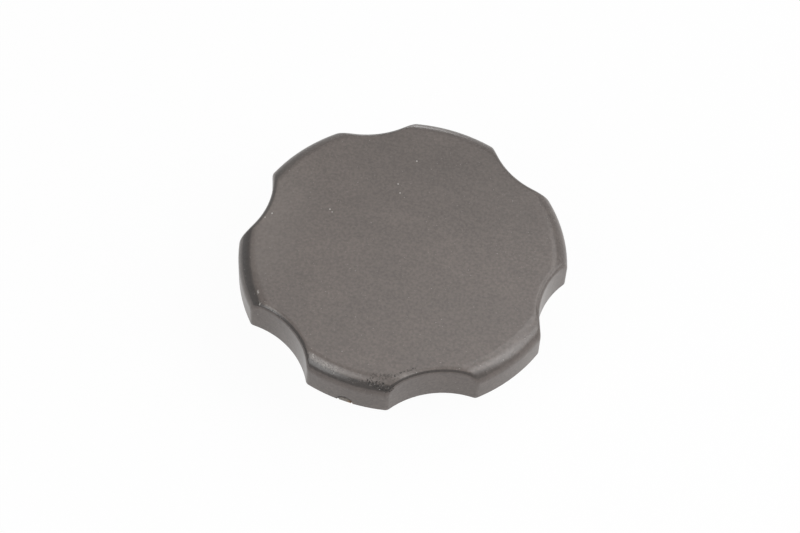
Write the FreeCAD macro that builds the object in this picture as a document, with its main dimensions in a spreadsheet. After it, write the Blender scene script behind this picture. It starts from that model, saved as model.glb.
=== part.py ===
# Oil filler cap of an engine: a hollow six-lobed screw cap, moulded in one piece, and the
# flat rubber washer that sits round its threaded spigot and seals on the filler neck.
#
# Frame: millimetres, +Z up through the flat top. The origin is on the cap's axis at the open
# end of the spigot, which the cap stands on. One lobe points along -Y and bears the gate mark.

import FreeCAD, Part
import math
import os

import Sketcher

# The driving sizes: name, value in millimetres or degrees, and what it measures. They run
# outwards from the thread and upwards from the spigot's open end, so what fits keeps fitting.
SIZES = (
    ("core_radius", 17.2, "root of the spigot's thread"),
    ("nose_step", 0.8, "thread's root in to the plain pilot nose"),
    ("nose_wall", 1.4, "wall of the spigot at its open end"),
    ("nose_length", 3.0, "length of the pilot nose with its chamfer"),
    ("nose_chamfer", 0.5, "chamfer round the spigot's end"),
    ("lead_length", 0.8, "cone from the nose up to the thread's root"),
    ("bore_chamfer", 1.2, "chamfer at the blind end of the hollow"),
    ("thread_depth", 1.8, "root to crest of the thread"),
    ("thread_pitch", 4.0, "rise of the thread in one turn"),
    ("thread_turns", 2.2, "turns of the thread"),
    ("thread_root", 2.4, "width of the thread at its root"),
    ("thread_crest", 1.1, "width of the thread at its crest"),
    ("thread_relief", 2.5, "end of the thread up to the washer's face"),
    ("washer_clearance", 0.1, "gap between the thread's root and the washer"),
    ("washer_width", 8.0, "inner to outer edge of the rubber washer"),
    ("washer_thickness", 2.8, "thickness of the rubber washer"),
    ("ring_clearance", 0.3, "gap between the washer and its locating ring"),
    ("ring_wall", 1.2, "thickness of the locating ring"),
    ("ring_depth", 1.4, "depth of the locating ring below the seat"),
    ("seat_boss", 1.2, "height of the washer's seat below the ceiling"),
    ("top_wall", 2.5, "thickness of the flat top"),
    ("skirt_gap", 2.1, "ring to the skirt, behind a scallop"),
    ("skirt_wall", 2.3, "thickness of the skirt at its lower edge"),
    ("skirt_draft", 0.5, "draft of the lobe walls, degrees"),
    ("cavity_corner", 1.2, "rounding of the hollow's upright corners"),
    ("grip_height", 8.7, "skirt's lower edge to flat top"),
    ("crown_radius", 3.7, "arc that rolls the flat top over into the skirt"),
    ("scallop_count", 6, "finger scallops round the grip"),
    ("scallop_depth", 3.8, "lobes to the bottom of a scallop, at the skirt's lower edge"),
    ("scallop_radius", 17.9, "radius of one scallop at the skirt's lower edge"),
    ("scallop_draft", 1.0, "draft of the scallop walls, degrees"),
    ("edge_radius", 1.25, "rounding along the edge of each scallop"),
    ("rib_wall", 1.4, "thickness of a stiffening rib"),
    ("rib_setback", 1.9, "skirt's lower edge up to a rib's outer foot"),
    ("gate_radius", 1.7, "radius of the half-moon gate mark"),
    ("gate_sink", 0.1, "centre of the gate mark below the skirt's lower edge"),
    ("gate_depth", 0.25, "depth of the gate mark into the lobe"),
)

# Radii and levels that follow from the driving sizes.
NOSE_RADIUS = "(sizes.core_radius - sizes.nose_step)"
BORE_RADIUS = f"({NOSE_RADIUS} - sizes.nose_wall)"
CREST_RADIUS = "(sizes.core_radius + sizes.thread_depth)"
WASHER_INNER = "(sizes.core_radius + sizes.washer_clearance)"
WASHER_OUTER = f"({WASHER_INNER} + sizes.washer_width)"
RING_INNER = f"({WASHER_OUTER} + sizes.ring_clearance)"
RING_OUTER = f"({RING_INNER} + sizes.ring_wall)"
SCALLOP_FLOOR = f"({RING_OUTER} + sizes.skirt_gap + sizes.skirt_wall)"
GRIP_RADIUS = f"({SCALLOP_FLOOR} + sizes.scallop_depth)"
SCALLOP_CENTRE = f"({SCALLOP_FLOOR} + sizes.scallop_radius)"
THREAD_START = "(sizes.nose_length + sizes.lead_length)"
THREAD_LENGTH = "(sizes.thread_turns * sizes.thread_pitch + sizes.thread_root)"
WASHER_FACE = f"({THREAD_START} + {THREAD_LENGTH} + sizes.thread_relief)"
SEAT = f"({WASHER_FACE} + sizes.washer_thickness)"
RING_EDGE = f"({SEAT} - sizes.ring_depth)"
CEILING = f"({SEAT} + sizes.seat_boss)"
FLAT_TOP = f"({CEILING} + sizes.top_wall)"
SKIRT_EDGE = f"({FLAT_TOP} - sizes.grip_height)"
LOBE_STEP = "(360 / sizes.scallop_count)"
FIRST_SCALLOP = f"({LOBE_STEP} / 2 - 90)"

# How much of a rib's or a ridge's own depth is buried in what carries it.
BURIED_SHARE = 0.25

# Limits for telling edges and changes apart: cubic millimetres, millimetres, and the longest
# that an upright edge may be as a share of its height.
LEAST_CHANGE = 0.5
SAME_PLACE = 0.01
UPRIGHT = 1.05


def number(body, expression):
    """Work an expression of the sizes out to a plain number."""
    return float(body.Document.sizes.evalExpression(expression))


def add_sheet(doc):
    """Put the driving sizes into a spreadsheet, one named cell to a row."""
    sheet = doc.addObject("Spreadsheet::Sheet", "sizes")
    for row, (alias, value, meaning) in enumerate(SIZES, start=1):
        sheet.set(f"A{row}", meaning)
        sheet.set(f"B{row}", str(value))
        sheet.setAlias(f"B{row}", alias)
    doc.recompute()
    return sheet


def add_body(doc, name):
    """Start a piece, named as its file will be."""
    body = doc.addObject("PartDesign::Body", name)
    body.Label = name
    return body


def origin_plane(body, role):
    """Find one of the body's own origin planes."""
    return next(o for o in body.Origin.OriginFeatures if o.Role == role)


class Outline:
    """A sketch whose points and radii are each held by an expression of the sizes."""

    def __init__(self, body, name, plane, offset=None):
        self.body = body
        self.sketch = body.newObject("Sketcher::SketchObject", name)
        self.sketch.AttachmentSupport = [(origin_plane(body, plane), "")]
        self.sketch.MapMode = "FlatFace"
        if offset is not None:
            self.sketch.setExpression("AttachmentOffset.Base.z", offset)

    def spot(self, across, up):
        """Turn two expressions into a point of the sketch."""
        return FreeCAD.Vector(number(self.body, across), number(self.body, up), 0)

    def hold(self, kind, *parts):
        """Add one dimension, whose last part is the expression that drives it."""
        *where, expression = parts
        index = self.sketch.addConstraint(
            Sketcher.Constraint(kind, *where, number(self.body, expression)))
        self.sketch.setExpression(f"Constraints[{index}]", expression)

    def hold_point(self, piece, end, across, up):
        """Tie one end or centre of a piece of the outline to its place."""
        self.hold("DistanceX", -1, 1, piece, end, across)
        self.hold("DistanceY", -1, 1, piece, end, up)

    def circle(self, across, up, radius):
        """Draw one full circle."""
        shape = Part.Circle(self.spot(across, up), FreeCAD.Vector(0, 0, 1), number(self.body, radius))
        piece = self.sketch.addGeometry(shape, False)
        self.hold_point(piece, 3, across, up)
        self.hold("Radius", piece, radius)

    def start(self, across, up):
        """Set the first corner of a closed outline."""
        self.corner = (across, up)
        self.first = None
        self.last = None
        self.begin = (across, up)

    def join(self, piece, near, far, across, up):
        """Chain a new piece to the last one and remember where it ends."""
        if self.last is None:
            self.first = (piece, near)
            self.hold_point(piece, near, *self.corner)
        else:
            self.sketch.addConstraint(
                Sketcher.Constraint("Coincident", *self.last, piece, near))
        if (across, up) == self.begin:
            self.sketch.addConstraint(
                Sketcher.Constraint("Coincident", piece, far, *self.first))
        else:
            self.hold_point(piece, far, across, up)
        self.last = (piece, far)
        self.corner = (across, up)

    def line(self, across, up):
        """Draw a straight side to the next corner."""
        shape = Part.LineSegment(self.spot(*self.corner), self.spot(across, up))
        piece = self.sketch.addGeometry(shape, False)
        self.join(piece, 1, 2, across, up)

    def arc(self, across, up, radius, turn):
        """Draw an arc under half a circle, turning left (1) or right (-1)."""
        tail = self.spot(*self.corner)
        head = self.spot(across, up)
        chord = head - tail
        size = number(self.body, radius)
        rise = math.sqrt(size ** 2 - chord.Length ** 2 / 4)
        left = FreeCAD.Vector(-chord.y, chord.x, 0).normalize()
        centre = (tail + head) / 2 + left * rise * turn
        near, far = (1, 2) if turn > 0 else (2, 1)
        begin, end = (tail, head) if turn > 0 else (head, tail)
        angles = [math.atan2(p.y - centre.y, p.x - centre.x) for p in (begin, end)]
        whole = Part.Circle(centre, FreeCAD.Vector(0, 0, 1), size)
        piece = self.sketch.addGeometry(Part.ArcOfCircle(whole, *angles), False)
        self.join(piece, near, far, across, up)
        self.hold("Radius", piece, radius)

    def close(self):
        """Draw the last straight side back to the first corner."""
        self.line(*self.begin)


def set_feature(feature, **driven):
    """Bind a feature's properties to expressions of the sizes."""
    for name, expression in driven.items():
        feature.setExpression(name, expression)


def finish_feature(body, feature, grows):
    """Rebuild, and stop if the feature failed or left the volume as it was."""
    steps = [o for o in body.Group if o.isDerivedFrom("PartDesign::Feature")]
    before = steps[-2].Shape.Volume
    body.Tip = feature
    body.Document.recompute()
    if not feature.isValid():
        raise RuntimeError(f"{feature.Label} could not be built")
    change = feature.Shape.Volume - before
    if (change if grows else -change) < LEAST_CHANGE:
        raise RuntimeError(f"{feature.Label} changed the volume by {change:.3f}")
    print(f"{feature.Label}: {change:+.1f} mm3, {len(feature.Shape.Faces)} faces")


def add_revolution(body, outline):
    """Turn an outline of the upright plane right round the cap's axis."""
    turned = body.newObject("PartDesign::Revolution", f"{outline.sketch.Label}_turned")
    turned.Profile = outline.sketch
    turned.ReferenceAxis = (outline.sketch, ["V_Axis"])
    turned.Angle = 360
    return turned


def add_pattern(body, original, axis_sketch):
    """Repeat a feature once for each scallop round the cap's axis."""
    pattern = body.newObject("PartDesign::PolarPattern", f"{original.Label}_round")
    pattern.Originals = [original]
    pattern.Axis = (axis_sketch, ["N_Axis"])
    pattern.Angle = 360
    set_feature(pattern, Occurrences="sizes.scallop_count")
    return pattern


def add_fillet(body, name, edges, radius):
    """Round the named edges of the body's present shape."""
    base = body.Tip
    fillet = body.newObject("PartDesign::Fillet", name)
    fillet.Base = (base, edges)
    set_feature(fillet, Radius=radius)
    return fillet


def grip_disc(body):
    """Turn the solid disc of the grip, with its rolled crown and drafted wall."""
    lean = "sizes.skirt_draft"
    wall_top = f"({FLAT_TOP} - sizes.crown_radius * (1 - sin({lean})))"
    wall_radius = f"({GRIP_RADIUS} - ({wall_top} - {SKIRT_EDGE}) * tan({lean}))"
    flat_radius = f"({wall_radius} - sizes.crown_radius * cos({lean}))"

    outline = Outline(body, "grip_disc", "XZ_Plane")
    outline.start("0", SKIRT_EDGE)
    outline.line(GRIP_RADIUS, SKIRT_EDGE)
    outline.line(wall_radius, wall_top)
    outline.arc(flat_radius, FLAT_TOP, "sizes.crown_radius", 1)
    outline.line("0", FLAT_TOP)
    outline.close()
    disc = add_revolution(body, outline)
    body.Tip = disc
    body.Document.recompute()
    if not disc.isValid():
        raise RuntimeError("grip_disc could not be built")


def scallops(body):
    """Cut the finger scallops up through the skirt and the crown."""
    outline = Outline(body, "scallop", "XY_Plane", SKIRT_EDGE)
    outline.circle(f"{SCALLOP_CENTRE} * cos({FIRST_SCALLOP})",
                   f"{SCALLOP_CENTRE} * sin({FIRST_SCALLOP})", "sizes.scallop_radius")
    cut = body.newObject("PartDesign::Pocket", "scallop_cut")
    cut.Profile = outline.sketch
    cut.Reversed = True
    set_feature(cut, Length="sizes.grip_height + sizes.top_wall", TaperAngle="sizes.scallop_draft")
    finish_feature(body, cut, grows=False)
    finish_feature(body, add_pattern(body, cut, outline.sketch), grows=False)


def is_scallop(face, centre):
    """Tell whether a face is one of the scallops' drafted walls."""
    if face.Surface.TypeId != "Part::GeomCone":
        return False
    axis = face.Surface.Center
    return abs(math.hypot(axis.x, axis.y) - centre) < SAME_PLACE


def scallop_edges(body):
    """Name the edges that bound the scallop walls, all but those on the skirt's lower edge."""
    shape = body.Tip.Shape
    low = number(body, SKIRT_EDGE)
    centre = number(body, SCALLOP_CENTRE)
    names = []
    for index, edge in enumerate(shape.Edges, start=1):
        faces = shape.ancestorsOfType(edge, Part.Face)
        rises = edge.BoundBox.ZMax > low + SAME_PLACE
        if rises and any(is_scallop(face, centre) for face in faces):
            names.append(f"Edge{index}")
    return names


def round_scallops(body):
    """Break the edge that each scallop leaves up the skirt and over the crown."""
    fillet = add_fillet(body, "scallop_rounding", scallop_edges(body), "sizes.edge_radius")
    finish_feature(body, fillet, grows=False)


def cavity(body):
    """Hollow the grip from below, leaving an even wall behind lobes and scallops."""
    count = int(body.Document.sizes.scallop_count)
    inner = f"({GRIP_RADIUS} - sizes.skirt_wall)"
    hump = "(sizes.scallop_radius + sizes.skirt_wall)"
    reach = f"(({inner} ^ 2 + {SCALLOP_CENTRE} ^ 2 - {hump} ^ 2) / (2 * {SCALLOP_CENTRE}))"
    half_width = f"sqrt({inner} ^ 2 - {reach} ^ 2)"

    def corner(index, side):
        """Place where a lobe's arc meets the hump behind a scallop."""
        angle = f"({FIRST_SCALLOP} + {index} * {LOBE_STEP})"
        across = f"{reach} * cos({angle}) - ({side}) * {half_width} * sin({angle})"
        up = f"{reach} * sin({angle}) + ({side}) * {half_width} * cos({angle})"
        return across, up

    outline = Outline(body, "hollow", "XY_Plane", SKIRT_EDGE)
    outline.start(*corner(0, -1))
    for index in range(count):
        outline.arc(*corner(index, 1), hump, -1)
        last = index == count - 1
        outline.arc(*(corner(0, -1) if last else corner(index + 1, -1)), inner, 1)
    pocket = body.newObject("PartDesign::Pocket", "hollow_cut")
    pocket.Profile = outline.sketch
    pocket.Reversed = True
    set_feature(pocket, Length=f"{CEILING} - {SKIRT_EDGE}")
    finish_feature(body, pocket, grows=False)


def hollow_corners(body):
    """Name the upright edges inside the hollow."""
    low = number(body, SKIRT_EDGE)
    high = number(body, CEILING)
    names = []
    for index, edge in enumerate(body.Tip.Shape.Edges, start=1):
        box = edge.BoundBox
        spans = abs(box.ZMin - low) < SAME_PLACE and abs(box.ZMax - high) < SAME_PLACE
        if spans and len(edge.Vertexes) == 2 and edge.Length < UPRIGHT * (high - low):
            names.append(f"Edge{index}")
    return names


def round_hollow(body):
    """Round the hollow's upright corners."""
    corners = add_fillet(body, "hollow_corner", hollow_corners(body), "sizes.cavity_corner")
    finish_feature(body, corners, grows=True)


def spigot(body):
    """Turn the hollow spigot, the washer's seat and the ring that locates the washer."""
    outline = Outline(body, "spigot", "XZ_Plane")
    outline.start(BORE_RADIUS, "0")
    outline.line(f"{NOSE_RADIUS} - sizes.nose_chamfer", "0")
    outline.line(NOSE_RADIUS, "sizes.nose_chamfer")
    outline.line(NOSE_RADIUS, "sizes.nose_length")
    outline.line("sizes.core_radius", THREAD_START)
    outline.line("sizes.core_radius", SEAT)
    outline.line(RING_INNER, SEAT)
    outline.line(RING_INNER, RING_EDGE)
    outline.line(RING_OUTER, RING_EDGE)
    outline.line(RING_OUTER, CEILING)
    outline.line(f"{BORE_RADIUS} - sizes.bore_chamfer", CEILING)
    outline.line(BORE_RADIUS, f"{CEILING} - sizes.bore_chamfer")
    outline.close()
    finish_feature(body, add_revolution(body, outline), grows=True)


def thread(body):
    """Wind the coarse right-hand thread round the spigot's core."""
    buried = f"(sizes.thread_depth * {BURIED_SHARE})"
    inside = f"sizes.core_radius - {buried}"
    spread = f"((sizes.thread_root - sizes.thread_crest) / 2 * {BURIED_SHARE})"
    middle = f"({THREAD_START} + sizes.thread_root / 2)"
    outline = Outline(body, "thread", "XZ_Plane")
    outline.start(inside, f"{THREAD_START} - {spread}")
    outline.line(CREST_RADIUS, f"{middle} - sizes.thread_crest / 2")
    outline.line(CREST_RADIUS, f"{middle} + sizes.thread_crest / 2")
    outline.line(inside, f"{THREAD_START} + sizes.thread_root + {spread}")
    outline.close()
    helix = body.newObject("PartDesign::AdditiveHelix", "thread_ridge")
    helix.Profile = outline.sketch
    helix.ReferenceAxis = (outline.sketch, ["V_Axis"])
    helix.Mode = "pitch-turns-angle"
    helix.LeftHanded = False
    set_feature(helix, Pitch="sizes.thread_pitch", Turns="sizes.thread_turns")
    finish_feature(body, helix, grows=True)


def rib(body, name, foot, turn):
    """Pad one upright rib from the locating ring out to the skirt, and repeat it all round."""
    root = f"({RING_OUTER} - sizes.ring_wall / 2)"
    bury = f"({CEILING} + sizes.top_wall * {BURIED_SHARE})"
    outline = Outline(body, name, "YZ_Plane")
    outline.sketch.setExpression("AttachmentOffset.Rotation.Angle", turn)
    outline.sketch.setExpression("AttachmentOffset.Rotation.Axis.y", "1")
    outline.sketch.setExpression("AttachmentOffset.Rotation.Axis.z", "0")
    outline.start(f"-{root}", RING_EDGE)
    outline.line(f"-{foot}", f"{SKIRT_EDGE} + sizes.rib_setback")
    outline.line(f"-{foot}", bury)
    outline.line(f"-{root}", bury)
    outline.close()
    pad = body.newObject("PartDesign::Pad", f"{name}_pad")
    pad.Profile = outline.sketch
    pad.SideType = "Symmetric"
    set_feature(pad, Length="sizes.rib_wall")
    finish_feature(body, pad, grows=True)
    pattern = add_pattern(body, pad, outline.sketch)
    pattern.Axis = (outline.sketch, ["V_Axis"])
    finish_feature(body, pattern, grows=True)


def ribs(body):
    """Brace the skirt with a rib behind every lobe and one behind every scallop."""
    rib(body, "lobe_rib", f"({GRIP_RADIUS} - sizes.skirt_wall / 2)", "0")
    rib(body, "scallop_rib", f"({SCALLOP_FLOOR} - sizes.skirt_wall / 2)", f"{LOBE_STEP} / 2")


def gate_mark(body):
    """Sink the half-moon scar where the moulding's gate was broken off."""
    outline = Outline(body, "gate_mark", "XZ_Plane", f"{GRIP_RADIUS} - sizes.gate_depth")
    outline.circle("0", f"{SKIRT_EDGE} - sizes.gate_sink", "sizes.gate_radius")
    cut = body.newObject("PartDesign::Pocket", "gate_scar")
    cut.Profile = outline.sketch
    cut.Reversed = True
    set_feature(cut, Length="sizes.skirt_wall")
    finish_feature(body, cut, grows=False)


def cap_body(doc):
    """Build the black moulding: grip, skirt, ribs and threaded spigot in one."""
    body = add_body(doc, "cap_body")
    grip_disc(body)
    scallops(body)
    round_scallops(body)
    cavity(body)
    round_hollow(body)
    spigot(body)
    ribs(body)
    gate_mark(body)
    thread(body)
    return body


def sealing_washer(doc):
    """Build the flat rubber washer against its seat, round the thread's root."""
    body = add_body(doc, "sealing_washer")
    outline = Outline(body, "washer_section", "XZ_Plane")
    outline.start(WASHER_INNER, WASHER_FACE)
    outline.line(WASHER_OUTER, WASHER_FACE)
    outline.line(WASHER_OUTER, SEAT)
    outline.line(WASHER_INNER, SEAT)
    outline.close()
    body.Tip = add_revolution(body, outline)
    doc.recompute()
    return body


def check(doc, bodies):
    """Stop unless every object was rebuilt and every piece is one valid solid."""
    for item in doc.Objects:
        if "Invalid" in item.State or "Error" in item.State:
            raise RuntimeError(f"{item.Label} is {item.State}")
    for body in bodies:
        shape = body.Shape
        if shape.isNull() or not shape.isValid() or len(shape.Solids) != 1:
            raise RuntimeError(f"{body.Label} is not one valid solid")
        box = shape.BoundBox
        print(f"{body.Label}: {shape.Volume:.1f} mm3, {box.XLength:.2f} x {box.YLength:.2f}"
              f" x {box.ZLength:.2f} mm, z {box.ZMin:.2f} to {box.ZMax:.2f}")


def main():
    """Build the two pieces and write one STEP file for each."""
    doc = FreeCAD.newDocument("oil_filler_cap")
    add_sheet(doc)
    bodies = [cap_body(doc), sealing_washer(doc)]
    doc.recompute()
    check(doc, bodies)
    os.makedirs("parts", exist_ok=True)
    for body in bodies:
        body.Shape.exportStep(f"parts/{body.Label}.step")


main()
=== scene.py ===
import logging
import math
from dataclasses import dataclass, field
from enum import Enum

import bmesh
import bpy
from mathutils import Matrix, Vector


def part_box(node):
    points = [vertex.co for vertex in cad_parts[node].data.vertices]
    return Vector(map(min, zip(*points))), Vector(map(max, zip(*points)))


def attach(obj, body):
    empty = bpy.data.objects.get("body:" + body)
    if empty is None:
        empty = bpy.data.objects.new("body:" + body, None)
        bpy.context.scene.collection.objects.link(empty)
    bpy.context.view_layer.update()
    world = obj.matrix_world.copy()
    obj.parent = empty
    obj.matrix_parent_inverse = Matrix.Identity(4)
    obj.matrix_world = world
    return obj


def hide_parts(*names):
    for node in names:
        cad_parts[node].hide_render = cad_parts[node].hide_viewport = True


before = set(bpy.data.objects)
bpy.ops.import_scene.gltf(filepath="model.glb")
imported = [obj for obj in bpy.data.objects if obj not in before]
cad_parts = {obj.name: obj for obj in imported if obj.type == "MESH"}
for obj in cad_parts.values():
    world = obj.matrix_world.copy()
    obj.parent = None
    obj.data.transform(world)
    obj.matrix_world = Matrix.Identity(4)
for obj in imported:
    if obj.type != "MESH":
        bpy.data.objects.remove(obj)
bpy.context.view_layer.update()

# Looks, light and camera for the oil filler cap. Lengths in the fields are millimetres in the
# cap's own frame, +Z up through the flat top, and meshes are in metres.
MM = 0.001
# Points of a mesh that lie closer together than this, in millimetres, are one point.
SAME_POINT = 0.002
# Points within this distance of a plane, in millimetres, lie on it.
ON_PLANE = 0.01

Triple = tuple[float, float, float]
Span = tuple[float, float]
# A ramp's range, low and high, and its results at both ends.
Ramp = tuple[float, float, float, float]

log = logging.getLogger("oil_filler_cap")


class Slot(Enum):
    """The finishes of the parts list."""

    MOULDING = "moulded_plastic"
    RUBBER = "washer_rubber"


class Wear(Enum):
    """How a worn place of the moulding, or a place of painted light or shade on it, looks."""

    DUST = "a pale grain of dust"
    FLECKS = "pale torn flecks"
    # A rubbed strip is real wear; on the near lobe's crown it is partly a painted highlight.
    PITS = "dark pits in a rough patch"
    RUBBED = "a strip rubbed smooth and pale"
    # This thin dark line is painted shade along a groove.
    SOILED = "a brown stain"
    GRIME = "a thin line of dirt"
    # Painted light and painted shade in broad zones of the flat top.
    FADED = "a broad zone, a little paler"
    DULLED = "a broad zone, a little darker"


def bare_selection() -> None:
    """Leave object mode's selection empty."""
    if bpy.context.object and bpy.context.object.mode != "OBJECT":
        bpy.ops.object.mode_set(mode="OBJECT")
    bpy.ops.object.select_all(action="DESELECT")


def only(piece: bpy.types.Object) -> None:
    """Make one piece the selected and active one.

    Args:
        piece: The piece to work on.
    """
    bare_selection()
    piece.select_set(True)
    bpy.context.view_layer.objects.active = piece


def settle(piece: bpy.types.Object) -> None:
    """Move a piece's place, turn and scale into its mesh.

    Args:
        piece: The piece, whose object then sits at the origin.
    """
    only(piece)
    bpy.ops.object.transform_apply(location=True, rotation=True, scale=True)


def outward(piece: bpy.types.Object) -> None:
    """Merge doubled points and turn all faces outwards.

    Args:
        piece: A closed shell without walls laid inside each other.
    """
    only(piece)
    bpy.ops.object.mode_set(mode="EDIT")
    bpy.ops.mesh.select_all(action="SELECT")
    bpy.ops.mesh.remove_doubles(threshold=SAME_POINT * MM)
    bpy.ops.mesh.normals_make_consistent(inside=False)
    bpy.ops.object.mode_set(mode="OBJECT")


class Sheet:
    """A material's node tree, laid out one node after another."""

    ROW_LENGTH = 12
    NODE_PITCH = (200, 220)
    # The Mix node's inputs (share, first and other value) and its output, by data type.
    MIX_SOCKETS = {"RGBA": ((0, 6, 7), 2), "FLOAT": ((0, 2, 3), 0)}

    def __init__(self, name: str) -> None:
        """Start an empty material.

        Args:
            name: The material's name.
        """
        self.material = bpy.data.materials.new(name)
        self.material.use_nodes = True
        self.tree = self.material.node_tree
        self.tree.nodes.clear()
        self.count = 0

    def add(self, kind: str, **settings: object) -> bpy.types.Node:
        """Add one node.

        Args:
            kind: The node's type without its ShaderNode prefix.
            settings: Properties of the node.

        Returns:
            The new node.
        """
        node = self.tree.nodes.new(f"ShaderNode{kind}")
        row, column = divmod(self.count, self.ROW_LENGTH)
        node.location = (self.NODE_PITCH[0] * column, -self.NODE_PITCH[1] * row)
        self.count += 1
        for name, value in settings.items():
            setattr(node, name, value)
        return node

    def feed(self, node: bpy.types.Node, key: object, value: object) -> None:
        """Give a node's input a number, a colour or another node's output.

        Args:
            node: The node.
            key: The input's name or index.
            value: A socket to link, or a plain value to set.
        """
        socket = node.inputs[key]
        if isinstance(value, bpy.types.NodeSocket):
            self.tree.links.new(value, socket)
        else:
            socket.default_value = value

    def maths(self, operation: str, *values: object, clamp: bool = False) -> bpy.types.NodeSocket:
        """Work out a number.

        Args:
            operation: The Math node's operation.
            values: Its inputs, numbers or sockets.
            clamp: Whether the result is held between 0 and 1.

        Returns:
            The result's socket.
        """
        node = self.add("Math", operation=operation, use_clamp=clamp)
        for index, value in enumerate(values):
            self.feed(node, index, value)
        return node.outputs[0]

    def vector(self, operation: str, *values: object) -> bpy.types.Node:
        """Work out a vector, or a number from vectors.

        Args:
            operation: The Vector Math node's operation.
            values: Its inputs, vectors or sockets.

        Returns:
            The node, for its Vector or Value output.
        """
        node = self.add("VectorMath", operation=operation)
        for index, value in enumerate(values):
            self.feed(node, index, value)
        return node

    def place(self) -> bpy.types.NodeSocket:
        """Read where a point of the piece is, in millimetres of the cap's frame.

        Returns:
            The place's socket.
        """
        node = self.vector("SCALE", self.add("TexCoord").outputs["Object"])
        self.feed(node, "Scale", 1 / MM)
        return node.outputs[0]

    def ramp(self, value: object, low: float, high: float, start: float = 0.0,
             end: float = 1.0) -> bpy.types.NodeSocket:
        """Map a number smoothly from one range to another, and hold it at both ends.

        Args:
            value: The number's socket.
            low: Where the first range starts.
            high: Where it ends.
            start: The result at low.
            end: The result at high.

        Returns:
            The result's socket.
        """
        node = self.add("MapRange", interpolation_type="SMOOTHSTEP")
        for key, item in enumerate((value, low, high, start, end)):
            self.feed(node, key, item)
        return node.outputs[0]

    def noise(self, place: object, size: float, detail: float = 2.0,
              roughness: float = 0.5) -> bpy.types.NodeSocket:
        """Read cloudy noise.

        Args:
            place: The vector at which it is read.
            size: The width of one cloud.
            detail: How many finer layers it has.
            roughness: How strong the finer layers are.

        Returns:
            The noise, about 0.5 on average.
        """
        node = self.add("TexNoise")
        self.feed(node, "Vector", place)
        self.feed(node, "Scale", 1 / size)
        self.feed(node, "Detail", detail)
        self.feed(node, "Roughness", roughness)
        return node.outputs[0]

    def mix(self, kind: str, share: object, one: object, other: object) -> bpy.types.NodeSocket:
        """Mix two values of one kind.

        Args:
            kind: The Mix node's data type.
            share: How much of the other value, 0 to 1.
            one: The first value.
            other: The other value.

        Returns:
            The mixed value's socket.
        """
        inputs, output = self.MIX_SOCKETS[kind]
        node = self.add("Mix", data_type=kind)
        for key, value in zip(inputs, (share, one, other)):
            self.feed(node, key, value)
        return node.outputs[output]

    def blend(self, share: object, one: object, other: object) -> bpy.types.NodeSocket:
        """Mix two colours.

        Args:
            share: How much of the other colour, 0 to 1.
            one: The first colour.
            other: The other colour.

        Returns:
            The mixed colour's socket.
        """
        one, other = (value + (1.0,) if isinstance(value, tuple) else value
                      for value in (one, other))
        return self.mix("RGBA", share, one, other)

    def shade(self, colour: object, factor: object) -> bpy.types.NodeSocket:
        """Make a colour darker or paler.

        Args:
            colour: The colour.
            factor: What its parts are multiplied by.

        Returns:
            The new colour's socket.
        """
        node = self.vector("SCALE", colour)
        self.feed(node, "Scale", factor)
        return node.outputs[0]

    def between(self, share: object, one: object, other: object) -> bpy.types.NodeSocket:
        """Mix two numbers.

        Args:
            share: How much of the other number, 0 to 1.
            one: The first number.
            other: The other number.

        Returns:
            The mixed number's socket.
        """
        return self.mix("FLOAT", share, one, other)

    def height(self, place: object) -> bpy.types.NodeSocket:
        """Read how high a vector reaches along Z.

        Args:
            place: The vector.

        Returns:
            Its third part's socket.
        """
        parts = self.add("SeparateXYZ")
        self.feed(parts, 0, place)
        return parts.outputs["Z"]

    def along(self, place: object, start: Triple, end: Triple,
              reach: float) -> bpy.types.NodeSocket:
        """Mark what lies near a straight line.

        Args:
            place: Where the point is.
            start: One end of the line.
            end: The other end, which may be the same.
            reach: How far from the line the mark fades out.

        Returns:
            A share that is 1 on the line and 0 beyond its reach.
        """
        run = Vector(end) - Vector(start)
        off = self.vector("SUBTRACT", place, start).outputs[0]
        if run.length > 0:
            step = tuple(run / run.length_squared)
            share = self.vector("DOT_PRODUCT", off, step).outputs["Value"]
            share = self.maths("ADD", share, 0.0, clamp=True)
            back = self.vector("SCALE", tuple(run))
            self.feed(back, "Scale", share)
            off = self.vector("SUBTRACT", off, back.outputs[0]).outputs[0]
        away = self.vector("LENGTH", off).outputs["Value"]
        return self.ramp(away, 0.0, reach, 1.0, 0.0)

    def surface(self, **inputs: object) -> bpy.types.Node:
        """Close the tree with a Principled shader.

        Args:
            inputs: The shader's inputs, with underscores for the spaces.

        Returns:
            The shader's node.
        """
        shader = self.add("BsdfPrincipled")
        for key, value in inputs.items():
            self.feed(shader, key.replace("_", " "), value)
        end = self.add("OutputMaterial")
        self.tree.links.new(shader.outputs[0], end.inputs[0])
        return shader


@dataclass
class Coat:
    """How a finish stands so far: its colour, roughness, height in millimetres and gloss."""

    colour: object
    roughness: object
    height: object
    gloss: object = 0.5
    ior: float = 1.5

    def close(self, sheet: Sheet) -> bpy.types.Material:
        """Turn the coat into the material's shader.

        Args:
            sheet: The tree.

        Returns:
            The finished material.
        """
        bump = sheet.add("Bump")
        sheet.feed(bump, "Height", self.height)
        sheet.feed(bump, "Strength", 1.0)
        sheet.feed(bump, "Distance", MM)
        sheet.surface(Base_Color=self.colour, Roughness=self.roughness,
                      Normal=bump.outputs[0], IOR=self.ior, Specular_IOR_Level=self.gloss)
        return sheet.material


@dataclass(frozen=True)
class Speckle:
    """Noise that breaks a worn place up, thinner towards the place's edge."""

    size: float
    detail: float
    # What is added to the noise, by how near the place's middle a point is.
    thinning: Ramp
    roughness: float = 0.6

    def cover(self, sheet: Sheet, place: object, mask: object) -> bpy.types.NodeSocket:
        """Read the noise with the place's edge taken off.

        Args:
            sheet: The tree.
            place: Where the point is.
            mask: Where the worn place lies.

        Returns:
            The thinned noise.
        """
        noise = sheet.noise(place, self.size, self.detail, self.roughness)
        return sheet.maths("ADD", noise, sheet.ramp(mask, *self.thinning))


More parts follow.
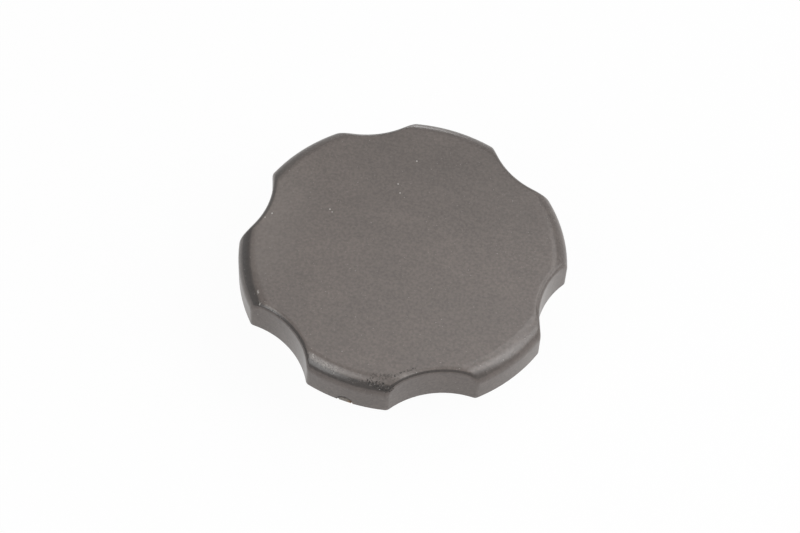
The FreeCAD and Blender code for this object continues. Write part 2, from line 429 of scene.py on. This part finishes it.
@dataclass(frozen=True)
class Look:
    """What worn plastic, or painted light or shade on it, looks like."""

    colour: Triple
    roughness: float
    # Over which values it comes in: of the speckle's or the rub's noise, of the height for a
    # broad zone of painted light or shade, and of the mask for all others.
    onset: Span = (0.2, 0.6)
    rise: float = 0.0
    speckle: Speckle | None = None


LOOKS = {
    Wear.DUST: Look((0.4, 0.38, 0.36), 0.7, rise=0.03),
    Wear.FLECKS: Look((0.42, 0.4, 0.38), 0.45, (0.48, 0.6), 0.02,
                      Speckle(0.4, 2.0, (0.0, 1.0, -0.22, 0.07))),
    # The pits' dark colour is partly real wear and partly painted shade in the hollows.
    Wear.PITS: Look((0.016, 0.014, 0.013), 0.6, (0.45, 0.6), -0.012,
                    Speckle(0.4, 1.5, (0.0, 0.8, -0.3, 0.0))),
    Wear.RUBBED: Look((0.3, 0.28, 0.26), 0.36, (0.38, 0.62)),
    Wear.SOILED: Look((0.12, 0.07, 0.04), 0.6, (0.2, 0.7)),
    Wear.GRIME: Look((0.016, 0.014, 0.012), 0.6, (0.1, 0.7)),
    Wear.FADED: Look((0.2, 0.178, 0.162), 0.3, (23.7, 23.95)),
    Wear.DULLED: Look((0.04, 0.034, 0.031), 0.3, (23.7, 23.95)),
}
# The pale burrs between the pits, the pits' gloss lowered as painted shade, and the grain of a
# rubbed strip.
BURRS = Look((0.095, 0.087, 0.08), 0.5, (0.57, 0.7), 0.0,
             Speckle(0.36, 1.5, (0.0, 0.8, -0.3, 0.0)))
PIT_PAINTED_SHADE_GLOSS = 0.28
RUB_SIZE = 0.36


@dataclass(frozen=True)
class WearAndPaintedLightPlace:
    """A worn place of the moulding, or painted light or shade on it, round a line or a point of
    its skin.
    """

    wear: Wear
    start: Triple
    end: Triple | None = None
    # How far from the line the place ends, and how much of the look it takes on.
    reach: float = 0.3
    strength: float = 1.0

    def lay(self, sheet: Sheet, place: object, coat: Coat) -> None:
        """Put the wear, or the painted light or shade, on a coat.

        Args:
            sheet: The tree.
            place: Where the point is.
            coat: The coat, which is changed.
        """
        look = LOOKS[self.wear]
        mask = sheet.along(place, self.start, self.end or self.start, self.reach)
        if look.speckle:
            share = sheet.ramp(look.speckle.cover(sheet, place, mask), *look.onset)
        elif self.wear is Wear.RUBBED:
            rub = sheet.ramp(sheet.noise(place, RUB_SIZE), *look.onset)
            share = sheet.maths("MULTIPLY", mask, rub)
        # Painted light and painted shade keep to the flat top.
        elif self.wear in (Wear.FADED, Wear.DULLED):
            flat_top = sheet.ramp(sheet.height(place), *look.onset)
            share = sheet.maths("MULTIPLY", mask, flat_top)
        else:
            share = sheet.ramp(mask, *look.onset)
        share = self.tint(sheet, coat, share, look)
        # The pits' lowered gloss is painted shade: their hollows reflect less.
        if self.wear is Wear.PITS:
            coat.gloss = sheet.between(share, coat.gloss, PIT_PAINTED_SHADE_GLOSS)
            burr = BURRS.speckle.cover(sheet, place, mask)
            self.tint(sheet, coat, sheet.ramp(burr, *BURRS.onset), BURRS)

    def tint(self, sheet: Sheet, coat: Coat, share: object, look: Look) -> bpy.types.NodeSocket:
        """Give part of a coat a look.

        Args:
            sheet: The tree.
            coat: The coat, which is changed.
            share: Where the look goes, before the place's strength.
            look: The look.

        Returns:
            The share with the place's strength in it.
        """
        share = sheet.maths("MULTIPLY", share, self.strength)
        coat.colour = sheet.blend(share, coat.colour, look.colour)
        coat.roughness = sheet.between(share, coat.roughness, look.roughness)
        if look.rise:
            coat.height = sheet.maths("MULTIPLY_ADD", share, look.rise, coat.height)
        return share


@dataclass(frozen=True)
class GrainedPlastic:
    """Black plastic with a fine moulded grain, worn places and a smoother crown, with painted
    shade on the crown band and the top's far side, and painted light on the upright walls and the
    top's left side.
    """

    colour: Triple = (0.104, 0.0865, 0.0775)
    roughness: float = 0.3
    grain_size: float = 0.62
    grain_height: float = 0.03
    grain_tone: Span = (0.82, 1.18)
    cloud_size: float = 9.0
    cloud_tone: Span = (0.95, 1.05)
    cloud_roughness: Span = (-0.02, 0.02)
    streak_size: float = 2.2
    streak_stretch: Triple = (0.25, 1.0, 1.0)
    streak_tone: Span = (0.97, 1.03)
    # The middle part of the noise, over which grain, clouds and streaks change.
    grain_range: Span = (0.25, 0.75)
    cloud_range: Span = (0.3, 0.7)
    # Where a point counts as outer skin: by how its face rises or looks outwards, by its height
    # and by its distance from the axis.
    facing_up: Span = (0.02, 0.12)
    skin_level: Span = (19.0, 19.6)
    facing_out: Span = (0.12, 0.3)
    skin_reach: Span = (29.0, 29.6)
    upright: Span = (0.45, 0.1)
    # The crown's band of painted shade lies between two values of the lean towards band_axis.
    band_axis: Triple = (0.159, -0.536, 0.829)
    band_start: Span = (0.825, 0.695)
    band_end: Span = (0.265, 0.465)
    # The painted shade is darker towards the front-left side, over this reach across the axis.
    painted_shade_side: Triple = (-0.5, -0.866, 0.0)
    painted_shade_reach: Span = (-4.0, 16.0)
    # How much colour the crown band keeps under its painted shade, on the front-left side and away
    # from it.
    crown_painted_shade: float = 0.36
    far_crown_painted_shade: float = 0.85
    crown_smoothing: float = -0.03
    # Painted light: the upright walls' colour is raised.
    wall_painted_light: float = 1.15
    under_shade: float = 0.72
    under_roughness: float = 0.08
    under_grain: float = 0.3
    # Worn places, painted highlights, and painted light and shade on the moulding.
    wear_and_painted_light: tuple[WearAndPaintedLightPlace, ...] = (
        WearAndPaintedLightPlace(Wear.PITS, (0.7, -33.9, 22.8), (3.0, -33.6, 23.0), 0.9, 0.7),
        WearAndPaintedLightPlace(Wear.PITS, (4.7, -33.2, 23.1), (9.0, -33.0, 22.5), 1.7),
        WearAndPaintedLightPlace(Wear.PITS, (4.8, -32.0, 23.86), (8.7, -31.0, 23.9), 1.4, 0.55),
        WearAndPaintedLightPlace(Wear.PITS, (8.9, -30.7, 24.0), (10.4, -28.9, 24.0), 0.6, 0.75),
        WearAndPaintedLightPlace(Wear.PITS, (10.4, -28.9, 24.0), (12.2, -27.5, 24.0), 0.5, 0.8),
        WearAndPaintedLightPlace(Wear.RUBBED, (9.0, -31.0, 23.85), (11.4, -28.8, 23.97), 0.7, 0.25),
        WearAndPaintedLightPlace(Wear.FLECKS, (-24.5, -21.4, 23.8), (-24.2, -22.0, 23.7), 0.5, 0.7),
        WearAndPaintedLightPlace(Wear.FLECKS, (-22.9, -24.2, 23.3), (-23.0, -23.6, 23.5), 0.5, 0.7),
        WearAndPaintedLightPlace(Wear.FLECKS, (-8.2, -31.7, 23.7), (-7.8, -32.3, 23.5), 0.45, 1.3),
        WearAndPaintedLightPlace(Wear.RUBBED, (-21.4, -24.0, 23.86), (-18.9, -24.8, 23.8), 0.8, 0.3),
        WearAndPaintedLightPlace(Wear.RUBBED, (-18.9, -24.8, 23.8), (-15.8, -26.2, 24.0), 0.6, 0.12),
        # On the near lobe's crown start the pale strip is partly rubbed wear and partly a painted
        # highlight.
        WearAndPaintedLightPlace(Wear.RUBBED, (-8.2, -32.1, 23.5), (-5.0, -32.9, 23.35), 1.2, 0.45),
        WearAndPaintedLightPlace(Wear.RUBBED, (-5.0, -32.9, 23.35), (-3.0, -33.05, 23.45), 1.1, 0.36),
        WearAndPaintedLightPlace(Wear.RUBBED, (-3.0, -33.05, 23.45), (-1.0, -33.0, 23.55), 0.9, 0.22),
        # Painted light on the left of the flat top, and painted shade on its far side.
        WearAndPaintedLightPlace(Wear.FADED, (-27.5, -13.0, 24.0), (-29.5, 4.0, 24.0), 11.0, 0.2),
        WearAndPaintedLightPlace(Wear.DULLED, (-12.0, 22.0, 24.0), (16.0, 23.0, 24.0), 18.0, 0.2),
        # Painted shade along the groove round the gate's recess.
        WearAndPaintedLightPlace(Wear.GRIME, (-1.75, -35.0, 15.4), (-1.25, -35.0, 16.45), 0.36, 0.85),
        WearAndPaintedLightPlace(Wear.GRIME, (-1.25, -35.0, 16.45), (0.0, -35.0, 17.0), 0.4, 0.85),
        WearAndPaintedLightPlace(Wear.GRIME, (0.0, -35.0, 17.0), (1.25, -35.0, 16.45), 0.36, 0.7),
        WearAndPaintedLightPlace(Wear.SOILED, (1.2, -34.9, 16.3), (1.65, -34.9, 15.5), 0.5, 0.9),
        WearAndPaintedLightPlace(Wear.DUST, (-5.0, 22.3, 24.0), None, 0.3),
        WearAndPaintedLightPlace(Wear.DUST, (-6.7, 15.0, 24.0), None, 0.28),
        WearAndPaintedLightPlace(Wear.DUST, (-29.1, -2.1, 24.0), None, 0.3),
        WearAndPaintedLightPlace(Wear.DUST, (-30.1, -3.6, 24.0), None, 0.25),
        WearAndPaintedLightPlace(Wear.DUST, (-18.0, 3.4, 24.0), None, 0.3),
        WearAndPaintedLightPlace(Wear.DUST, (-17.3, 2.9, 24.0), None, 0.22),
        WearAndPaintedLightPlace(Wear.DUST, (-5.5, 12.9, 24.0), None, 0.25),
    )

    def skin(self, sheet: Sheet, place: object) -> tuple[object, object, object]:
        """Tell the grained outer skin from the smooth underside, and find the crown band that gets
        painted shade and the upright wall that gets painted light.

        Args:
            sheet: The tree.
            place: Where the point is.

        Returns:
            The shares of outer skin, of the crown band with its painted shade and of the upright
            wall with its painted light.
        """
        normal = sheet.add("TexCoord").outputs["Normal"]
        flat = sheet.vector("MULTIPLY", place, (1, 1, 0)).outputs[0]
        away = sheet.vector("LENGTH", flat).outputs["Value"]
        radial = sheet.vector("DOT_PRODUCT", normal, sheet.vector("NORMALIZE", flat).outputs[0])
        steep = sheet.height(normal)
        top = sheet.maths("MULTIPLY", sheet.ramp(steep, *self.facing_up),
                          sheet.ramp(sheet.height(place), *self.skin_level))
        side = sheet.maths("MULTIPLY", sheet.ramp(radial.outputs["Value"], *self.facing_out),
                           sheet.ramp(away, *self.skin_reach))
        lean = sheet.vector("DOT_PRODUCT", normal, self.band_axis).outputs["Value"]
        lean = sheet.maths("MULTIPLY", lean, steep)
        crown = sheet.maths("MULTIPLY", sheet.ramp(lean, *self.band_start),
                            sheet.ramp(lean, *self.band_end))
        wall = sheet.maths("MULTIPLY", side, sheet.ramp(steep, *self.upright))
        return sheet.maths("MAXIMUM", top, side), sheet.maths("MULTIPLY", crown, top), wall

    def build(self) -> bpy.types.Material:
        """Lay out the material.

        Returns:
            The material.
        """
        sheet = Sheet(Slot.MOULDING.value)
        place = sheet.place()
        skin, crown, wall = self.skin(sheet, place)
        grain = sheet.noise(place, self.grain_size, detail=2.0, roughness=0.6)
        cloud = sheet.noise(place, self.cloud_size, detail=3.0)
        stretched = sheet.vector("MULTIPLY", place, self.streak_stretch).outputs[0]
        streaks = sheet.noise(stretched, self.streak_size, detail=2.0)
        # The crown band's painted shade, stronger towards the front-left side.
        painted_shade_lean = sheet.vector("DOT_PRODUCT", place, self.painted_shade_side).outputs["Value"]
        crown_painted_shade = sheet.ramp(painted_shade_lean, *self.painted_shade_reach, self.far_crown_painted_shade,
                                 self.crown_painted_shade)
        tone = sheet.ramp(cloud, *self.cloud_range, *self.cloud_tone)
        for factor in (
            sheet.ramp(grain, *self.grain_range, *self.grain_tone),
            sheet.ramp(streaks, *self.cloud_range, *self.streak_tone),
            # Painted shade on the crown band.
            sheet.between(crown, 1.0, crown_painted_shade),
            # Painted light on the upright walls.
            sheet.between(wall, 1.0, self.wall_painted_light),
            sheet.between(skin, self.under_shade, 1.0),
        ):
            tone = sheet.maths("MULTIPLY", tone, factor)
        base = sheet.between(skin, self.roughness + self.under_roughness, self.roughness)
        roughness = sheet.ramp(cloud, *self.cloud_range, *self.cloud_roughness)
        roughness = sheet.maths("ADD", roughness, base)
        roughness = sheet.maths("MULTIPLY_ADD", crown, self.crown_smoothing, roughness)
        depth = sheet.between(skin, self.grain_height * self.under_grain, self.grain_height)
        coat = Coat(sheet.shade(self.colour, tone), roughness,
                    sheet.maths("MULTIPLY", grain, depth))
        for spot in self.wear_and_painted_light:
            spot.lay(sheet, place, coat)
        return coat.close(sheet)


@dataclass(frozen=True)
class BrokenGate:
    """The torn plastic left where the moulding's gate was broken off."""

    colour: Triple = (0.2, 0.178, 0.158)
    stain: Triple = (0.2, 0.12, 0.065)
    stain_line: tuple[Triple, Triple] = ((1.0, -34.9, 15.6), (1.5, -34.9, 15.5))
    stain_reach: float = 0.9
    tear_size: float = 0.3
    tear_height: float = 0.05
    tear_tone: Ramp = (0.25, 0.7, 0.45, 1.25)
    tear_roughness: Ramp = (0.3, 0.7, 0.7, 0.5)

    def build(self) -> bpy.types.Material:
        """Lay out the material.

        Returns:
            The material.
        """
        sheet = Sheet("gate_stub_plastic")
        place = sheet.place()
        torn = sheet.noise(place, self.tear_size, detail=4.0, roughness=0.65)
        side = sheet.along(place, *self.stain_line, self.stain_reach)
        colour = sheet.blend(side, self.colour, self.stain)
        colour = sheet.shade(colour, sheet.ramp(torn, *self.tear_tone))
        coat = Coat(colour, sheet.ramp(torn, *self.tear_roughness),
                    sheet.maths("MULTIPLY", torn, self.tear_height))
        return coat.close(sheet)


@dataclass(frozen=True)
class WasherRubber:
    """Matt black rubber with a faint bloom."""

    colour: Triple = (0.02, 0.02, 0.021)
    bloom_size: float = 2.8
    bloom_tone: Ramp = (0.4, 0.75, 1.0, 2.2)
    bloom_roughness: Ramp = (0.3, 0.7, 0.62, 0.78)
    grain_size: float = 0.17
    grain_height: float = 0.004

    def build(self) -> bpy.types.Material:
        """Lay out the material.

        Returns:
            The material.
        """
        sheet = Sheet(Slot.RUBBER.value)
        place = sheet.place()
        bloom = sheet.noise(place, self.bloom_size, detail=3.0)
        grain = sheet.noise(place, self.grain_size, detail=2.0)
        colour = sheet.shade(self.colour, sheet.ramp(bloom, *self.bloom_tone))
        coat = Coat(colour, sheet.ramp(bloom, *self.bloom_roughness),
                    sheet.maths("MULTIPLY", grain, self.grain_height))
        return coat.close(sheet)


@dataclass
class CapMoulding:
    """The black moulding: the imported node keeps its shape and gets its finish."""

    node: str = "cap_body"
    finish: GrainedPlastic = field(default_factory=GrainedPlastic)

    def build(self) -> bpy.types.Object:
        """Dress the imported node.

        Returns:
            The node's object.
        """
        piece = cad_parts[self.node]
        material = self.finish.build()
        for slot in piece.material_slots:
            slot.material = material
        return piece


@dataclass
class GateStub:
    """The half-moon stub in the gate's recess, broken off a little below the lobe's skin."""

    radius: float = 1.38
    # How far from the axis the lobe's skin and the recess's floor are.
    skin: float = 35.0
    floor: float = 34.72
    # How high the skirt's edge and the half-moon's centre are.
    edge: float = 15.3
    centre: float = 15.2
    # How far the broken face lies below the skin, its bare rim's width and its roughness.
    sunk: float = 0.03
    step: float = 0.08
    rough: float = 0.09
    tear_size: float = 0.45
    sides: int = 56
    cut_tolerance: float = 0.001
    smooth_below: float = 40.0
    finish: BrokenGate = field(default_factory=BrokenGate)

    def build(self) -> bpy.types.Object:
        """Model the stub and its broken face.

        Returns:
            The stub.
        """
        front = self.skin - self.sunk
        middle = Vector((0, -(front + self.floor) / 2, self.centre)) * MM
        bare_selection()
        bpy.ops.mesh.primitive_cylinder_add(vertices=self.sides, radius=self.radius * MM,
                                            depth=(front - self.floor) * MM, location=middle,
                                            rotation=(math.pi / 2, 0, 0))
        piece = bpy.context.object
        piece.name = "gate_stub"
        settle(piece)
        self.shape(piece, -front * MM)
        self.tear(piece, -front * MM)
        piece.data.materials.append(self.finish.build())
        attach(piece, "root")
        return piece

    def shape(self, piece: bpy.types.Object, front: float) -> None:
        """Cut the disc off level with the skirt's edge and step its face in.

        Args:
            piece: The disc.
            front: Where its face is along Y, in metres.
        """
        only(piece)
        bpy.ops.object.mode_set(mode="EDIT")
        bpy.ops.mesh.select_all(action="SELECT")
        bpy.ops.mesh.bisect(plane_co=(0, 0, self.edge * MM), plane_no=(0, 0, 1),
                            use_fill=True, clear_inner=True, threshold=self.cut_tolerance * MM)
        mesh = bmesh.from_edit_mesh(piece.data)
        for face in mesh.faces:
            face.select_set(face.calc_center_median().y < front + ON_PLANE * MM)
        bmesh.update_edit_mesh(piece.data)
        bpy.ops.mesh.inset(thickness=self.step * MM, depth=0.0)
        bpy.ops.mesh.quads_convert_to_tris()
        bpy.ops.mesh.subdivide(number_cuts=3)
        bpy.ops.mesh.select_all(action="DESELECT")
        bpy.ops.object.mode_set(mode="OBJECT")

    def tear(self, piece: bpy.types.Object, front: float) -> None:
        """Roughen the face where the plastic tore.

        Args:
            piece: The stub.
            front: Where its face is along Y, in metres.
        """
        only(piece)
        bpy.ops.object.mode_set(mode="EDIT")
        bpy.ops.mesh.select_all(action="SELECT")
        bpy.ops.mesh.quads_convert_to_tris()
        bpy.ops.mesh.subdivide(number_cuts=1)
        bpy.ops.object.mode_set(mode="OBJECT")
        face = piece.vertex_groups.new(name="torn_face")
        hits = [v.index for v in piece.data.vertices if v.co.y < front + ON_PLANE * MM]
        face.add(hits, 1.0, "REPLACE")
        clouds = bpy.data.textures.new("torn", "CLOUDS")
        clouds.noise_scale = self.tear_size * MM
        clouds.noise_depth = 2
        tear = piece.modifiers.new("tear", "DISPLACE")
        tear.texture = clouds
        tear.vertex_group = face.name
        tear.direction = "Y"
        tear.mid_level = 0.0
        tear.strength = self.rough * MM
        bpy.ops.object.modifier_apply(modifier=tear.name)
        outward(piece)
        only(piece)
        bpy.ops.object.shade_smooth_by_angle(angle=math.radians(self.smooth_below))


@dataclass
class SealingWasher:
    """The rubber washer, with the rounded rims of a moulded ring."""

    node: str = "sealing_washer"
    rim: float = 0.35
    rim_steps: int = 4
    steps: int = 144
    sharp_above: float = 50.0
    smooth_below: float = 35.0
    finish: WasherRubber = field(default_factory=WasherRubber)

    def section(self) -> bpy.types.Object:
        """Start from one upright face, as wide and tall as the washer's wall.

        Returns:
            The flat piece, standing on the cap's XZ plane.
        """
        low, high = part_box(self.node)
        hole = min(math.hypot(v.co.x, v.co.y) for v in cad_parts[self.node].data.vertices)
        middle = Vector(((hole + high.x) / 2, 0, (low.z + high.z) / 2))
        bare_selection()
        bpy.ops.mesh.primitive_plane_add(size=1, location=middle, rotation=(math.pi / 2, 0, 0))
        piece = bpy.context.object
        piece.name = "washer_ring"
        piece.scale = (high.x - hole, high.z - low.z, 1)
        settle(piece)
        return piece

    def build(self) -> bpy.types.Object:
        """Turn the section's outline into a ring and finish its rims.

        Returns:
            The washer.
        """
        piece = self.section()
        only(piece)
        bpy.ops.object.mode_set(mode="EDIT")
        bpy.ops.mesh.select_all(action="SELECT")
        # The face goes first, because it would stay inside the ring at every step.
        bpy.ops.mesh.delete(type="ONLY_FACE")
        bpy.ops.mesh.select_all(action="SELECT")
        bpy.ops.mesh.spin(steps=self.steps, angle=math.tau, center=(0, 0, 0), axis=(0, 0, 1))
        bpy.ops.object.mode_set(mode="OBJECT")
        outward(piece)
        self.round_rims(piece)
        piece.data.materials.append(self.finish.build())
        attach(piece, "root")
        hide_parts(self.node)
        return piece

    def round_rims(self, piece: bpy.types.Object) -> None:
        """Round the four circular rims.

        Args:
            piece: The ring.
        """
        only(piece)
        bevel = piece.modifiers.new("rims", "BEVEL")
        bevel.width = self.rim * MM
        bevel.segments = self.rim_steps
        bevel.limit_method = "ANGLE"
        bevel.angle_limit = math.radians(self.sharp_above)
        bpy.ops.object.modifier_apply(modifier=bevel.name)
        bpy.ops.object.shade_smooth_by_angle(angle=math.radians(self.smooth_below))


@dataclass
class ViewCamera:
    """The camera, standing where the photo was taken from."""

    azimuth: float = 16.536
    elevation: float = 55.873
    roll: float = 3.945
    distance: float = 424.4
    # Focal length, middle of the view and picture size, in the photo's pixels.
    focal: float = 1976.38
    middle: Span = (402.258, 269.598)
    picture: tuple[int, int] = (800, 533)
    sensor_width: float = 36.0
    nearest: float = 0.01
    aim_height: float = 15.3

    def build(self) -> bpy.types.Object:
        """Place the camera.

        Returns:
            The camera's object.
        """
        pitch = math.radians(self.elevation)
        lean = math.radians(self.roll)
        back = Vector((0, -math.cos(pitch), math.sin(pitch)))
        level = Vector((1, 0, 0))
        rise = Vector((0, math.sin(pitch), math.cos(pitch)))
        right = level * math.cos(lean) + rise * math.sin(lean)
        top = rise * math.cos(lean) - level * math.sin(lean)
        share = self.distance / self.focal
        place = back * self.distance
        place -= right * (self.middle[0] - self.picture[0] / 2) * share
        place += top * (self.middle[1] - self.picture[1] / 2) * share
        turn = Matrix.Rotation(math.radians(self.azimuth), 3, "Z")
        pose = Matrix((turn @ right, turn @ top, turn @ back)).transposed().to_4x4()
        pose.translation = (turn @ place + Vector((0, 0, self.aim_height))) * MM
        data = bpy.data.cameras.new("view")
        data.sensor_width = self.sensor_width
        data.lens = self.focal * data.sensor_width / self.picture[0]
        data.clip_start = self.nearest
        camera = bpy.data.objects.new("view", data)
        camera.matrix_world = pose
        bpy.context.scene.collection.objects.link(camera)
        bpy.context.scene.camera = camera
        return camera


@dataclass
class Softbox:
    """One studio lamp on a dome round the cap. Its azimuth is 0 on the -Y side."""

    name: str
    azimuth: float
    elevation: float
    size: float
    power: float
    distance: float = 800.0
    aim_height: float = 20.0

    def build(self) -> bpy.types.Object:
        """Place the lamp, facing the cap.

        Returns:
            The lamp's object.
        """
        around = math.radians(self.azimuth)
        above = math.radians(self.elevation)
        way = Vector((math.sin(around) * math.cos(above), -math.cos(around) * math.cos(above),
                      math.sin(above)))
        data = bpy.data.lights.new(self.name, "AREA")
        data.shape = "DISK"
        data.size = self.size * MM
        data.energy = self.power
        lamp = bpy.data.objects.new(self.name, data)
        lamp.location = (way * self.distance + Vector((0, 0, self.aim_height))) * MM
        lamp.rotation_mode = "QUATERNION"
        lamp.rotation_quaternion = way.to_track_quat("Z", "Y")
        bpy.context.scene.collection.objects.link(lamp)
        return lamp


@dataclass
class Studio:
    """The pale floor, the white room and the softboxes."""

    softboxes: tuple[Softbox, ...] = (
        Softbox("right_high", 91.5, 55, 450, 1.89),
        Softbox("right_low", 91.5, 25, 450, 1.62),
        Softbox("right_front", 76.5, 40, 450, 0.96),
        Softbox("right_back_low", 121.5, 25, 450, 0.88),
        Softbox("left_front", 331.5, 55, 450, 1.82),
        Softbox("left_front_low", 331.5, 25, 450, 1.74),
        Softbox("back_right", 151.5, 55, 450, 1.25),
        Softbox("back_high", 196.5, 70, 450, 0.66),
        Softbox("back_low", 196.5, 10, 240, 0.55),
    )
    room: float = 0.0
    floor_size: float = 4000.0
    floor_tone: Triple = (0.8, 0.8, 0.8)
    floor_glow: float = 0.96

    def floor(self) -> bpy.types.Object:
        """Lay the floor under the cap.

        Returns:
            The floor.
        """
        bare_selection()
        bpy.ops.mesh.primitive_plane_add(size=self.floor_size * MM)
        piece = bpy.context.object
        piece.name = "studio_floor"
        sheet = Sheet("studio_white")
        matt = sheet.add("BsdfDiffuse")
        sheet.feed(matt, "Color", self.floor_tone + (1.0,))
        glow = sheet.add("Emission")
        sheet.feed(glow, "Strength", 1.0)
        path = sheet.add("LightPath")
        seen = sheet.maths("MAXIMUM", path.outputs["Is Camera Ray"], path.outputs["Is Glossy Ray"])
        seen = sheet.maths("MAXIMUM", seen, path.outputs["Is Transmission Ray"])
        mixed = sheet.add("MixShader")
        sheet.feed(mixed, 0, sheet.maths("MULTIPLY", seen, self.floor_glow))
        sheet.feed(mixed, 1, matt.outputs[0])
        sheet.feed(mixed, 2, glow.outputs[0])
        end = sheet.add("OutputMaterial")
        sheet.feed(end, 0, mixed.outputs[0])
        piece.data.materials.append(sheet.material)
        return piece

    def air(self) -> None:
        """Show the room white to the camera and in reflections, and light it by room."""
        world = bpy.data.worlds.new("studio_room")
        world.use_nodes = True
        tree = world.node_tree
        tree.nodes.clear()
        path = tree.nodes.new("ShaderNodeLightPath")
        seen = tree.nodes.new("ShaderNodeMath")
        seen.operation = "MAXIMUM"
        tree.links.new(path.outputs["Is Camera Ray"], seen.inputs[0])
        tree.links.new(path.outputs["Is Glossy Ray"], seen.inputs[1])
        clear = tree.nodes.new("ShaderNodeMath")
        clear.operation = "MAXIMUM"
        tree.links.new(seen.outputs[0], clear.inputs[0])
        tree.links.new(path.outputs["Is Transmission Ray"], clear.inputs[1])
        light = tree.nodes.new("ShaderNodeMapRange")
        tree.links.new(clear.outputs[0], light.inputs[0])
        light.inputs[3].default_value = self.room
        light.inputs[4].default_value = 1.0
        back = tree.nodes.new("ShaderNodeBackground")
        tree.links.new(light.outputs[0], back.inputs["Strength"])
        back.inputs["Color"].default_value = (1, 1, 1, 1)
        end = tree.nodes.new("ShaderNodeOutputWorld")
        tree.links.new(back.outputs[0], end.inputs[0])
        bpy.context.scene.world = world

    def build(self) -> bpy.types.Object:
        """Set up floor, room and lamps.

        Returns:
            The floor.
        """
        self.air()
        for softbox in self.softboxes:
            softbox.build()
        return self.floor()


def main() -> None:
    """Build the looks in order and log each piece's name."""
    logging.basicConfig(level=logging.INFO, format="%(name)s: %(message)s")
    bpy.context.scene.view_settings.view_transform = "Standard"
    for maker in (ViewCamera(), Studio(), CapMoulding(), GateStub(), SealingWasher()):
        piece = maker.build()
        log.info("%s: %s", type(maker).__name__, piece.name)


if __name__ == "__main__":
    main()
